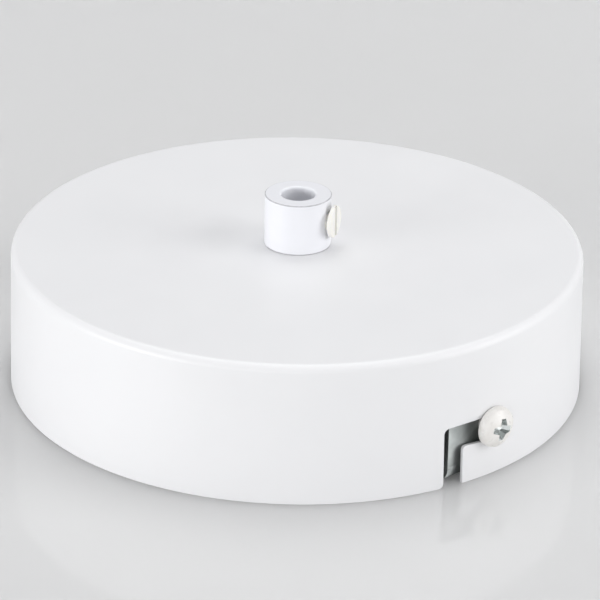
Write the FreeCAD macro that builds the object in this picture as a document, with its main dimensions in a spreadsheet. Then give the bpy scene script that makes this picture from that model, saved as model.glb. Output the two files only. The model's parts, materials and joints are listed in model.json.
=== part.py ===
"""A ceiling rose for one pendant lamp: a pressed steel cup with two L-shaped bayonet slots, a cord grip on
its crown, and inside it a folded strap that carries the two side screws, a terminal strip and an earth screw.

The frame: +Z points away from the ceiling, towards the cord grip. The origin is the middle of the cup's rim,
on the ceiling plane. The strap runs along X, and the side screws lie on the X axis of the strap's flanges.
"""
import FreeCAD
import Part
import math
import os
import re
import Sketcher

# Driving sizes, in millimetres and degrees

SIZES = {
    # the pressed cup
    "rim_radius": 60.0,
    "cup_height": 29.5,
    "wall_draft": 0.6,
    "cup_wall": 0.7,
    "corner_radius": 1.6,
    # the L-shaped slots in the cup's wall
    "slot_clearance": 0.2,
    "slot_height": 10.6,
    "leg_angle": 9.4,
    "arm_floor_gap": 0.5,
    "lock_drop": 0.7,
    "slot_end_ease": 0.1,
    "slot_corner": 1.2,
    "tab_corner": 0.9,
    "rim_corner": 1.0,
    # the turned cord grip on the crown, with its threaded stem
    "grip_radius": 6.95,
    "grip_height": 11.0,
    "grip_edge": 0.2,
    "cord_bore_radius": 3.55,
    "mouth_chamfer": 0.5,
    "stem_radius": 5.0,
    "stem_length": 8.5,
    "stem_clearance": 0.15,
    # the nylon screw in the grip's side
    "clamp_angle": 29.0,
    "clamp_drop": 5.0,
    "clamp_spot_gap": 0.35,
    "clamp_spot_depth": 0.25,
    "clamp_lift": 0.85,
    "clamp_screw_radius": 2.0,
    "clamp_head_radius": 3.4,
    "clamp_head_height": 0.85,
    "clamp_head_edge": 0.25,
    "clamp_tip_gap": 0.1,
    "clamp_slot_width": 1.2,
    "clamp_slot_depth": 0.45,
    # the nut and the toothed washer under the crown
    "nut_flats": 14.0,
    "nut_thickness": 3.0,
    "nut_bevel_angle": 30.0,
    "washer_thickness": 0.6,
    "washer_ring_radius": 7.4,
    "washer_radius": 9.0,
    "tooth_width": 1.5,
    "tooth_set": 0.4,
    "tooth_count": 12,
    # the folded strap
    "strap_width": 20.0,
    "strap_thickness": 1.5,
    "bend_radius": 1.5,
    "flange_height": 17.0,
    "flange_corner": 3.0,
    "strap_clearance": 0.3,
    "cable_hole_radius": 5.25,
    "fixing_slot_width": 5.0,
    "fixing_slot_length": 12.0,
    "fixing_slot_bridge": 2.25,
    "collar_height": 1.2,
    "collar_wall": 0.9,
    "thread_clearance": 0.05,
    # the two side screws
    "side_screw_radius": 2.0,
    "side_screw_length": 6.0,
    "side_head_radius": 4.2,
    "side_head_height": 3.2,
    "side_dome_radius": 6.2,
    "side_head_gap": 0.05,
    "cross_angle": 81.0,
    "cross_span": 5.5,
    "cross_width": 1.2,
    "cross_floor_span": 2.2,
    "cross_floor_width": 0.8,
    "cross_flare": 0.75,
    "cross_depth": 1.7,
    # the earth screw and its clamp plate
    "earth_distance": 10.5,
    "earth_screw_radius": 2.0,
    "earth_head_radius": 3.5,
    "earth_head_height": 2.4,
    "earth_plate_thickness": 1.0,
    "earth_lip_height": 0.9,
    "earth_lip_thickness": 1.0,
    "earth_lip_gap": 0.2,
    # the terminal strip
    "pole_wall": 3.7,
    "block_gap": 0.5,
    "block_end_wall": 1.5,
    "block_floor": 1.2,
    "block_roof": 1.0,
    "block_waist_width": 1.4,
    "block_waist_depth": 3.0,
    "block_groove_depth": 0.8,
    "chimney_wall": 0.5,
    "chimney_height": 5.0,
    "tube_length": 15.0,
    "tube_width": 4.2,
    "tube_height": 5.6,
    "tube_wall": 0.8,
    "tube_gap": 0.05,
    "wire_bore_radius": 1.6,
    "wire_entry_gap": 0.3,
    "terminal_screw_radius": 1.25,
    "terminal_screw_inset": 3.0,
    "terminal_head_radius": 1.85,
    "terminal_head_height": 1.5,
    "terminal_head_gap": 0.3,
    "terminal_slot_width": 0.7,
    "terminal_slot_depth": 0.7,
    "terminal_tip_gap": 0.4,
    # the screw that holds the terminal strip
    "fixing_screw_radius": 1.25,
    "fixing_head_radius": 2.25,
    "fixing_head_height": 1.8,
    "fixing_slot_depth": 0.9,
    "fixing_clearance": 0.15,
    # how far a screw's foot stays above the ceiling
    "foot_gap": 0.3,
    # the bevel at a screw's foot
    "point_bevel": 0.4,
}

# Places that are worked out from the driving sizes

PLACES = {
    "plate_under": "cup_height - cup_wall",
    "wall_slope": "wall_draft / cup_height",
    "slot_width": "2 * (side_screw_radius + slot_clearance)",
    "leg_middle": "(rim_radius - cup_wall / 2) * sin(leg_angle)",
    "leg_near": "leg_middle - slot_width / 2",
    "leg_far": "leg_middle + slot_width / 2",
    "slot_roof": "slot_height + slot_width / 2",
    "arm_floor": "slot_height - side_screw_radius - arm_floor_gap",
    "lock_floor": "arm_floor - lock_drop",
    "slot_end_half": "(slot_roof - lock_floor) / 2",
    "slot_end_height": "(slot_roof + lock_floor) / 2",
    "slot_end_radius": "slot_end_half + slot_end_ease",
    "slot_end_depth": "sqrt(slot_end_radius ^ 2 - slot_end_half ^ 2)",
    "slot_end_start":
        "slot_width / 2 + slot_end_depth - sqrt(slot_end_radius ^ 2 - (slot_height - slot_end_height) ^ 2)",
    "grip_top": "cup_height + grip_height",
    "stem_end": "cup_height - stem_length",
    "clamp_axis": "grip_top - clamp_drop",
    "clamp_spot_radius": "clamp_head_radius + clamp_spot_gap",
    "clamp_spot_face": "grip_radius - clamp_spot_depth",
    "clamp_seat": "clamp_spot_face + clamp_lift",
    "clamp_length": "clamp_seat - cord_bore_radius - clamp_tip_gap",
    "washer_middle": "plate_under - (washer_thickness + tooth_set) / 2",
    "nut_top": "plate_under - washer_thickness - tooth_set",
    "nut_bottom": "nut_top - nut_thickness",
    "nut_corner": "nut_flats / 2 / cos(30)",
    "flange_space": "rim_radius - wall_slope * flange_height - cup_wall - strap_clearance",
    "flange_face": "sqrt(flange_space ^ 2 - (strap_width / 2) ^ 2)",
    "flange_inside": "flange_face - strap_thickness",
    "side_seat": "rim_radius - wall_slope * (slot_height - side_head_radius) + side_head_gap",
    "side_head_side": "side_head_height - side_dome_radius + sqrt(side_dome_radius ^ 2 - side_head_radius ^ 2)",
    "fixing_slot_middle": "cable_hole_radius + fixing_slot_bridge + fixing_slot_length / 2",
    "fixing_slot_end": "fixing_slot_middle + fixing_slot_length / 2",
    "earth_middle": "fixing_slot_end + earth_distance",
    "earth_plate_half": "earth_head_radius + earth_lip_gap + earth_lip_thickness",
    "earth_plate_floor": "strap_thickness + collar_height",
    "earth_seat": "earth_plate_floor + earth_plate_thickness",
    "pole_pitch": "tube_width + 2 * tube_gap + pole_wall",
    "block_length": "3 * pole_pitch",
    "block_width": "tube_length + 2 * (tube_gap + block_end_wall)",
    "block_middle": "0 - fixing_slot_end - block_gap - block_length / 2",
    "tube_bottom": "strap_thickness + block_floor",
    "tube_top": "tube_bottom + tube_height",
    "wire_axis": "tube_bottom + tube_wall + wire_bore_radius",
    "block_top": "tube_top + block_roof",
    "chimney_top": "block_top + chimney_height",
    "chimney_bore_radius": "terminal_head_radius + terminal_head_gap",
    "chimney_radius": "chimney_bore_radius + chimney_wall",
    "wire_entry_radius": "wire_bore_radius + wire_entry_gap",
    "terminal_screw_offset": "tube_length / 2 - terminal_screw_inset",
    "terminal_travel": "2 * wire_bore_radius - terminal_tip_gap",
    "terminal_tip": "wire_axis + wire_bore_radius + thread_clearance",
    "terminal_seat": "tube_top + terminal_travel + thread_clearance",
    "fixing_middle": "block_middle + pole_pitch / 2",
}

WORD = re.compile(r"[a-z][a-z_0-9]*")
BEYOND = 2.0
NEAR = 1e-4

doc = FreeCAD.newDocument("ceiling_rose")
sheet = doc.addObject("Spreadsheet::Sheet", "Sizes")
for row, (alias, number) in enumerate(SIZES.items(), start=1):
    sheet.set(f"A{row}", alias)
    sheet.set(f"B{row}", str(number))
    sheet.setAlias(f"B{row}", alias)
doc.recompute()


def formula(text):
    """The text as an expression on the sheet, with each worked-out place written out."""
    def spell(match):
        word = match.group(0)
        if word in PLACES:
            return f"({formula(PLACES[word])})"
        if word in SIZES:
            return f"Sizes.{word}"
        return word
    return WORD.sub(spell, text)


def size(text):
    """The value of such a text in millimetres or degrees."""
    return float(sheet.evalExpression(formula(text)))


# Helpers for sketches and features


def new_body(label, base=("0", "0", "0"), rotation=FreeCAD.Rotation()):
    """An empty body, with its place bound to the sheet."""
    body = doc.addObject("PartDesign::Body", label)
    body.Label = label
    body.Placement = FreeCAD.Placement(FreeCAD.Vector(), rotation)
    for axis, text in zip("xyz", base):
        body.setExpression(f"Placement.Base.{axis}", formula(text))
    return body


def new_sketch(body, name, plane, lift="0"):
    """A sketch on one of the body's own planes, lifted along the plane's normal."""
    sketch = body.newObject("Sketcher::SketchObject", name)
    face = next(f for f in body.Origin.OriginFeatures if f.Role == plane)
    sketch.AttachmentSupport = (face, [""])
    sketch.MapMode = "FlatFace"
    sketch.setExpression("AttachmentOffset.Base.z", formula(lift))
    return sketch


def pin_point(sketch, geometry, end, x, y):
    """Binds one point of a sketch to its place."""
    for kind, text in (("DistanceX", x), ("DistanceY", y)):
        if text == "0":
            axis = -2 if kind == "DistanceX" else -1
            sketch.addConstraint(Sketcher.Constraint("PointOnObject", geometry, end, axis))
        else:
            datum = Sketcher.Constraint(kind, -1, 1, geometry, end, size(text))
            index = sketch.addConstraint(datum)
            sketch.setExpression(f"Constraints[{index}]", formula(text))


def bound_radius(sketch, geometry, text):
    """Binds the radius of a circle or an arc."""
    index = sketch.addConstraint(Sketcher.Constraint("Radius", geometry, size(text)))
    sketch.setExpression(f"Constraints[{index}]", formula(text))


def bulge(start, end, radius):
    """The arc from start to end that turns left, with its middle on the left of the chord."""
    chord = end - start
    middle = (start + end) * 0.5
    depth = math.sqrt(radius ** 2 - (chord.Length / 2) ** 2)
    left = FreeCAD.Vector(-chord.y, chord.x, 0).normalize()
    centre = middle + left * depth
    circle = Part.Circle(centre, FreeCAD.Vector(0, 0, 1), radius)
    return Part.ArcOfCircle(circle, circle.parameter(start), circle.parameter(end))


def draw_outline(sketch, corners):
    """A closed outline, walked with its inside on the left. A corner is (x, y), or (x, y, radius) where an
    arc that bulges outwards leaves it."""
    first = sketch.GeometryCount
    count = len(corners)
    points = [FreeCAD.Vector(size(c[0]), size(c[1]), 0) for c in corners]
    for i, corner in enumerate(corners):
        start, end = points[i], points[(i + 1) % count]
        if len(corner) == 3:
            sketch.addGeometry(bulge(start, end, size(corner[2])), False)
        else:
            sketch.addGeometry(Part.LineSegment(start, end), False)
    for i in range(count):
        following = first + (i + 1) % count
        sketch.addConstraint(Sketcher.Constraint("Coincident", first + i, 2, following, 1))
    for i, corner in enumerate(corners):
        pin_point(sketch, first + i, 1, corner[0], corner[1])
        if len(corner) == 3:
            bound_radius(sketch, first + i, corner[2])


def draw_circle(sketch, x, y, radius):
    """A circle with its middle at (x, y)."""
    centre = FreeCAD.Vector(size(x), size(y), 0)
    circle = sketch.addGeometry(Part.Circle(centre, FreeCAD.Vector(0, 0, 1), size(radius)), False)
    pin_point(sketch, circle, 3, x, y)
    bound_radius(sketch, circle, radius)


def draw_obround(sketch, middle, length, width):
    """A round-ended slot along x, with its middle at (middle, 0)."""
    radius = f"{width} / 2"
    reach = f"({length} - {width}) / 2"
    r, left, right = size(radius), size(f"{middle} - {reach}"), size(f"{middle} + {reach}")
    up = FreeCAD.Vector(0, 0, 1)
    right_end = Part.Circle(FreeCAD.Vector(right, 0, 0), up, r)
    left_end = Part.Circle(FreeCAD.Vector(left, 0, 0), up, r)
    quarter = math.pi / 2
    low = sketch.addGeometry(Part.LineSegment(FreeCAD.Vector(left, -r, 0), FreeCAD.Vector(right, -r, 0)), False)
    east = sketch.addGeometry(Part.ArcOfCircle(right_end, -quarter, quarter), False)
    high = sketch.addGeometry(Part.LineSegment(FreeCAD.Vector(right, r, 0), FreeCAD.Vector(left, r, 0)), False)
    west = sketch.addGeometry(Part.ArcOfCircle(left_end, quarter, 3 * quarter), False)
    for one, other in ((low, east), (east, high), (high, west), (west, low)):
        sketch.addConstraint(Sketcher.Constraint("Tangent", one, 2, other, 1))
    sketch.addConstraint(Sketcher.Constraint("Equal", east, west))
    pin_point(sketch, east, 3, f"{middle} + {reach}", "0")
    pin_point(sketch, west, 3, f"{middle} - {reach}", "0")
    bound_radius(sketch, east, radius)


def extrude(body, kind, name, sketch, length, along=True):
    """A Pad or a Pocket of a sketch, along its normal or against it."""
    feature = body.newObject(f"PartDesign::{kind}", name)
    feature.Profile = sketch
    feature.Type = "Length"
    feature.Reversed = along if kind == "Pocket" else not along
    feature.setExpression("Length", formula(length))
    doc.recompute()
    return feature


def turn(body, kind, name, sketch, axis="V_Axis"):
    """A full Revolution or Groove of a sketch about one of its axes."""
    feature = body.newObject(f"PartDesign::{kind}", name)
    feature.Profile = sketch
    feature.ReferenceAxis = (sketch, [axis])
    feature.Angle = 360
    doc.recompute()
    return feature


def turned(body, name, corners):
    """The solid that an outline in the XZ plane makes about Z."""
    sketch = new_sketch(body, name + "_profile", "XZ_Plane")
    draw_outline(sketch, corners)
    return turn(body, "Revolution", name, sketch)


def repeat_round(body, name, originals, count):
    """Copies of features around Z."""
    pattern = body.newObject("PartDesign::PolarPattern", name)
    pattern.Originals = originals
    axis = next(f for f in body.Origin.OriginFeatures if f.Role == "Z_Axis")
    pattern.Axis = (axis, [""])
    pattern.Angle = 360
    if count in SIZES:
        pattern.setExpression("Occurrences", formula(count))
    else:
        pattern.Occurrences = int(count)
    body.Tip = pattern
    doc.recompute()
    return pattern


def dress(body, name, base, wanted, radius):
    """A Fillet on the edges that the test picks."""
    edges = [f"Edge{i}" for i, edge in enumerate(base.Shape.Edges, start=1) if wanted(edge)]
    if not edges:
        raise RuntimeError(f"{body.Label}: {name} found no edge")
    feature = body.newObject("PartDesign::Fillet", name)
    feature.Base = (base, edges)
    feature.setExpression("Radius", formula(radius))
    doc.recompute()
    return feature


def same(one, other):
    return abs(one - other) < NEAR


def curve_if(edge, kind):
    """The edge's curve where it is of that kind, else None. Some projected edges name no kind at all."""
    try:
        curve = edge.Curve
    except TypeError:
        return None
    return curve if isinstance(curve, kind) else None


def ring_at(radius, height):
    """Picks the circle about Z of that radius at that height."""
    def wanted(edge):
        circle = curve_if(edge, Part.Circle)
        if circle is None:
            return False
        on_axis = same(math.hypot(circle.Center.x, circle.Center.y), 0)
        return on_axis and same(circle.Radius, radius) and same(circle.Center.z, height)
    return wanted


def straight_along(axis):
    """Picks straight edges along x, y or z."""
    def wanted(edge):
        line = curve_if(edge, Part.Line)
        return line is not None and same(abs(getattr(line.Direction, axis)), 1)
    return wanted


def middle_of(edge):
    return edge.BoundBox.Center


# The pressed cup


def make_cup():
    body = new_body("canopy_cup")
    outside = turned(body, "outside", [
        ("0", "0"), ("rim_radius", "0"), ("rim_radius - wall_draft", "cup_height"), ("0", "cup_height"),
    ])
    crown_edge = ring_at(size("rim_radius - wall_draft"), size("cup_height"))
    dress(body, "crown_round", outside, crown_edge, "corner_radius")

    below = f"(0 - {BEYOND})"
    inner_mouth = f"rim_radius - cup_wall + wall_slope * {BEYOND}"
    inner_crown = "rim_radius - cup_wall - wall_slope * plate_under"
    hollow_profile = new_sketch(body, "hollow_profile", "XZ_Plane")
    draw_outline(hollow_profile, [
        ("0", below), (inner_mouth, below), (inner_crown, "plate_under"), ("0", "plate_under"),
    ])
    turn(body, "Groove", "hollow", hollow_profile)

    hole_sketch = new_sketch(body, "stem_hole_sketch", "XY_Plane", "plate_under - cup_wall")
    draw_circle(hole_sketch, "0", "0", "stem_radius + stem_clearance")
    extrude(body, "Pocket", "stem_hole", hole_sketch, "3 * cup_wall")

    # The slot is punched straight along X, and the second one lies half a turn on. Its arm drops towards its
    # closed end, so that the lamp's weight keeps the screw there.
    slot_sketch = new_sketch(body, "slot_sketch", "YZ_Plane")
    draw_outline(slot_sketch, [
        ("0 - leg_far", below), ("0 - leg_near", below), ("0 - leg_near", "arm_floor"),
        ("slot_end_start", "lock_floor", "slot_end_radius"), ("slot_end_start", "slot_roof"),
        ("0 - leg_far", "slot_roof"),
    ])
    slot = extrude(body, "Pocket", "slot", slot_sketch, f"rim_radius + {BEYOND}")
    tip = repeat_round(body, "slots", [slot], "2")

    def corner_at(depth, height):
        """Picks the short edges through the wall at one corner of both slots."""
        def wanted(edge):
            middle = middle_of(edge)
            through = straight_along("x")(edge) and middle.x * middle.y < 0
            return through and same(abs(middle.y), depth) and same(middle.z, height)
        return wanted

    corners = (
        ("roof_round", "leg_far", "slot_roof", "slot_corner"),
        ("tab_round", "leg_near", "arm_floor", "tab_corner"),
        ("rim_round", "leg_far", "0", "rim_corner"),
    )
    for name, depth, height, radius in corners:
        tip = dress(body, name, tip, corner_at(size(depth), size(height)), radius)
    return body


# The cord grip and its screw

OUTWARD = FreeCAD.Rotation(FreeCAD.Vector(0, 1, 0), 90)


def make_cord_grip():
    around = FreeCAD.Rotation(FreeCAD.Vector(0, 0, 1), size("clamp_angle"))
    body = new_body("cord_grip", rotation=around)
    body.setExpression("Placement.Rotation.Angle", formula("clamp_angle"))
    turned(body, "grip", [
        ("cord_bore_radius", "stem_end"),
        ("stem_radius", "stem_end"),
        ("stem_radius", "cup_height"),
        ("grip_radius - grip_edge", "cup_height"),
        ("grip_radius", "cup_height + grip_edge"),
        ("grip_radius", "grip_top - grip_edge"),
        ("grip_radius - grip_edge", "grip_top"),
        ("cord_bore_radius + mouth_chamfer", "grip_top"),
        ("cord_bore_radius", "grip_top - mouth_chamfer"),
    ])
    spot_sketch = new_sketch(body, "spot_sketch", "YZ_Plane", "clamp_spot_face")
    draw_circle(spot_sketch, "0", "clamp_axis", "clamp_spot_radius")
    extrude(body, "Pocket", "spot_face", spot_sketch, f"{BEYOND} * clamp_spot_depth")
    thread_sketch = new_sketch(body, "thread_sketch", "YZ_Plane")
    draw_circle(thread_sketch, "0", "clamp_axis", "clamp_screw_radius + thread_clearance")
    extrude(body, "Pocket", "clamp_thread", thread_sketch, f"grip_radius + {BEYOND}")
    return body


def drive_slot(body, top, radius, width, depth):
    """A straight screwdriver slot across a head, along the body's own Y."""
    sketch = new_sketch(body, "drive_sketch", "XY_Plane", f"{top} - {depth}")
    reach = f"{radius} + {BEYOND}"
    draw_outline(sketch, [
        (f"0 - {width} / 2", f"0 - ({reach})"), (f"{width} / 2", f"0 - ({reach})"),
        (f"{width} / 2", reach), (f"0 - {width} / 2", reach),
    ])
    extrude(body, "Pocket", "drive_slot", sketch, f"{depth} + {BEYOND}")


def make_clamp_screw():
    """Cheese-head screw. Its own Z points out of the grip, and its slot stands upright. No cord is held, so its
    head is still off the spot face and its tip is just short of the bore."""
    around = FreeCAD.Rotation(FreeCAD.Vector(0, 0, 1), size("clamp_angle"))
    upright = FreeCAD.Rotation(FreeCAD.Vector(0, 0, 1), 90)
    place = ("clamp_seat * cos(clamp_angle)", "clamp_seat * sin(clamp_angle)", "clamp_axis")
    body = new_body("cord_clamp_screw", place, around.multiply(OUTWARD).multiply(upright))
    turned(body, "screw", [
        ("0", "0 - clamp_length"),
        ("clamp_screw_radius - point_bevel", "0 - clamp_length"),
        ("clamp_screw_radius", "point_bevel - clamp_length"),
        ("clamp_screw_radius", "0"),
        ("clamp_head_radius", "0"),
        ("clamp_head_radius", "clamp_head_height - clamp_head_edge"),
        ("clamp_head_radius - clamp_head_edge", "clamp_head_height"),
        ("0", "clamp_head_height"),
    ])
    drive_slot(body, "clamp_head_height", "clamp_head_radius", "clamp_slot_width", "clamp_slot_depth")
    return body


# The nut and the toothed washer under the crown


def make_lock_nut():
    body = new_body("lock_nut")
    hexagon = new_sketch(body, "hexagon", "XY_Plane", "nut_bottom")
    draw_outline(hexagon, [
        (f"nut_corner * cos({angle})", f"nut_corner * sin({angle})") for angle in range(30, 390, 60)
    ])
    extrude(body, "Pad", "nut", hexagon, "nut_thickness")
    hole_sketch = new_sketch(body, "hole_sketch", "XY_Plane", "nut_bottom - nut_thickness")
    draw_circle(hole_sketch, "0", "0", "stem_radius + thread_clearance")
    extrude(body, "Pocket", "nut_thread", hole_sketch, "3 * nut_thickness")
    outside = f"(nut_corner + {BEYOND})"
    fall = f"({outside} - nut_flats / 2) * tan(nut_bevel_angle)"
    bevel_profile = new_sketch(body, "bevel_profile", "XZ_Plane")
    draw_outline(bevel_profile, [
        ("nut_flats / 2", "nut_bottom"), (outside, "nut_bottom"), (outside, f"nut_bottom + {fall}"),
    ])
    turn(body, "Groove", "bevel", bevel_profile)
    return body


def make_toothed_washer():
    """A flat ring with outward teeth, each set at a slant so that it bites into the crown and the nut."""
    body = new_body("toothed_washer")
    ring_sketch = new_sketch(body, "ring_sketch", "XY_Plane", "washer_middle - washer_thickness / 2")
    draw_circle(ring_sketch, "0", "0", "washer_ring_radius")
    draw_circle(ring_sketch, "0", "0", "stem_radius + stem_clearance")
    extrude(body, "Pad", "ring", ring_sketch, "washer_thickness")
    low = "washer_middle - (tooth_set + washer_thickness) / 2"
    high = "washer_middle + (tooth_set + washer_thickness) / 2"
    tooth_sketch = new_sketch(body, "tooth_sketch", "YZ_Plane", "washer_ring_radius - washer_thickness")
    draw_outline(tooth_sketch, [
        ("0 - tooth_width / 2", low), ("tooth_width / 2", f"{high} - washer_thickness"),
        ("tooth_width / 2", high), ("0 - tooth_width / 2", f"{low} + washer_thickness"),
    ])
    tooth = extrude(body, "Pad", "tooth", tooth_sketch, "washer_radius - washer_ring_radius + washer_thickness")
    repeat_round(body, "teeth", [tooth], "tooth_count")
    return body


# The folded strap


def make_bracket():
    body = new_body("mounting_bracket")
    profile = new_sketch(body, "profile", "XZ_Plane", "0 - strap_width / 2")
    draw_outline(profile, [
        ("0 - flange_face", "0"), ("flange_face", "0"), ("flange_face", "flange_height"),
        ("flange_inside", "flange_height"), ("flange_inside", "strap_thickness"),
        ("0 - flange_inside", "strap_thickness"), ("0 - flange_inside", "flange_height"),
        ("0 - flange_face", "flange_height"),
    ])
    strap = extrude(body, "Pad", "strap", profile, "strap_width")

    def fold_at(distance, height):
        def wanted(edge):
            middle = middle_of(edge)
            return straight_along("y")(edge) and same(abs(middle.x), distance) and same(middle.z, height)
        return wanted

    outer = dress(body, "outer_bends", strap, fold_at(size("flange_face"), 0),
                  "bend_radius + strap_thickness")
    inner = dress(body, "inner_bends", outer, fold_at(size("flange_inside"), size("strap_thickness")),
                  "bend_radius")

    def top_corner(edge):
        return straight_along("x")(edge) and same(middle_of(edge).z, size("flange_height"))

    dress(body, "flange_corners", inner, top_corner, "flange_corner")

    # Drawn collars carry the threads of the side screws and the earth screw
    collar = "+ thread_clearance + collar_wall"
    for name, side in (("front", "flange_inside - collar_height"), ("rear", "0 - flange_inside")):
        sketch = new_sketch(body, name + "_collar_sketch", "YZ_Plane", side)
        draw_circle(sketch, "0", "slot_height", "side_screw_radius" + collar)
        extrude(body, "Pad", name + "_collar", sketch, "collar_height")
    earth_sketch = new_sketch(body, "earth_collar_sketch", "XY_Plane", "strap_thickness")
    draw_circle(earth_sketch, "earth_middle", "0", "earth_screw_radius" + collar)
    extrude(body, "Pad", "earth_collar", earth_sketch, "collar_height")

    side_sketch = new_sketch(body, "side_hole_sketch", "YZ_Plane", "0 - rim_radius")
    draw_circle(side_sketch, "0", "slot_height", "side_screw_radius + thread_clearance")
    extrude(body, "Pocket", "side_holes", side_sketch, "2 * rim_radius")

    holes = (
        ("cable_hole", "0", "cable_hole_radius"),
        ("earth_hole", "earth_middle", "earth_screw_radius + thread_clearance"),
        ("block_hole", "fixing_middle", "fixing_screw_radius + thread_clearance"),
    )
    for name, x, radius in holes:
        sketch = new_sketch(body, name + "_sketch", "XY_Plane")
        draw_circle(sketch, x, "0", radius)
        extrude(body, "Pocket", name, sketch, "strap_thickness + collar_height + collar_height")
    for name, side in (("slot_right", ""), ("slot_left", "0 - ")):
        sketch = new_sketch(body, name + "_sketch", "XY_Plane")
        draw_obround(sketch, f"{side}fixing_slot_middle", "fixing_slot_length", "fixing_slot_width")
        extrude(body, "Pocket", name, sketch, "2 * strap_thickness")
    return body


# Screws with a domed head and a cross recess


def cross(sketch, span, width):
    """A cross about the sketch's origin, with wings that widen towards its middle."""
    long, short, root = f"{span} / 2", f"{width} / 2", f"{width} * cross_flare"
    minus_long, minus_short, minus_root = f"0 - {long}", f"0 - {short}", f"0 - {root}"
    draw_outline(sketch, [
        (long, minus_short), (long, short), (root, root), (short, long), (minus_short, long),
        (minus_root, root), (minus_long, short), (minus_long, minus_short), (minus_root, minus_root),
        (minus_short, minus_long), (short, minus_long), (root, minus_root),
    ])


def make_side_screw(label, direction):
    """Its own Z points outwards, and its head's underside lies at its own origin."""
    spin = FreeCAD.Rotation(FreeCAD.Vector(0, 0, 1), size("cross_angle"))
    half_turn = FreeCAD.Rotation(FreeCAD.Vector(0, 0, 1), 0 if direction > 0 else 180)
    seat = "side_seat" if direction > 0 else "0 - side_seat"
    body = new_body(label, (seat, "0", "slot_height"), half_turn.multiply(OUTWARD).multiply(spin))
    turned(body, "screw", [
        ("0", "0 - side_screw_length"),
        ("side_screw_radius - point_bevel", "0 - side_screw_length"),
        ("side_screw_radius", "point_bevel - side_screw_length"),
        ("side_screw_radius", "0"),
        ("side_head_radius", "0"),
        ("side_head_radius", "side_head_side", "side_dome_radius"),
        ("0", "side_head_height"),
    ])
    mouth = new_sketch(body, "recess_mouth", "XY_Plane", "side_head_height")
    cross(mouth, "cross_span", "cross_width")
    floor = new_sketch(body, "recess_floor", "XY_Plane", "side_head_height - cross_depth")
    cross(floor, "cross_floor_span", "cross_floor_width")
    recess = body.newObject("PartDesign::SubtractiveLoft", "recess")
    recess.Profile = mouth
    recess.Sections = [(floor, [""])]
    recess.Ruled = True
    doc.recompute()
    return body


# Slotted screws that stand upright in the strap


def make_upright_screw(label, place, radius, length, head, head_height, slot_width, slot_depth):
    """A cheese-head screw with its head's underside at place and its own Z upwards."""
    body = new_body(label, place)
    turned(body, "screw", [
        ("0", f"0 - ({length})"),
        (f"{radius} - point_bevel", f"0 - ({length})"),
        (radius, f"point_bevel - ({length})"),
        (radius, "0"), (head, "0"), (head, head_height), ("0", head_height),
    ])
    drive_slot(body, head_height, head, slot_width, slot_depth)
    return body


def make_earth_plate():
    """A square clamp plate with two upturned lips that keep the earth wire under the screw's head."""
    body = new_body("earth_clamp_plate")
    half = "earth_plate_half"
    sides = {"left": f"earth_middle - {half}", "right": f"earth_middle + {half}"}
    plate_sketch = new_sketch(body, "plate_sketch", "XY_Plane", "earth_plate_floor")
    draw_outline(plate_sketch, [
        (sides["left"], f"0 - {half}"), (sides["right"], f"0 - {half}"),
        (sides["right"], half), (sides["left"], half),
    ])
    extrude(body, "Pad", "plate", plate_sketch, "earth_plate_thickness")
    for name, low, high in (
        ("near_lip", f"0 - {half}", f"earth_lip_thickness - {half}"),
        ("far_lip", f"{half} - earth_lip_thickness", half),
    ):
        sketch = new_sketch(body, name + "_sketch", "XY_Plane", "earth_seat")
        draw_outline(sketch, [
            (sides["left"], low), (sides["right"], low), (sides["right"], high), (sides["left"], high),
        ])
        extrude(body, "Pad", name, sketch, "earth_lip_height")
    hole_sketch = new_sketch(body, "hole_sketch", "XY_Plane", "earth_plate_floor")
    draw_circle(hole_sketch, "earth_middle", "0", "earth_screw_radius + fixing_clearance")
    extrude(body, "Pocket", "hole", hole_sketch, "2 * earth_plate_thickness")
    return body


# The terminal strip

POLES = {"live": -1, "neutral": 0, "earth": 1}
SIDES = {"supply": -1, "lamp": 1}


def pole_place(step):
    return f"block_middle + ({step}) * pole_pitch"


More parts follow.
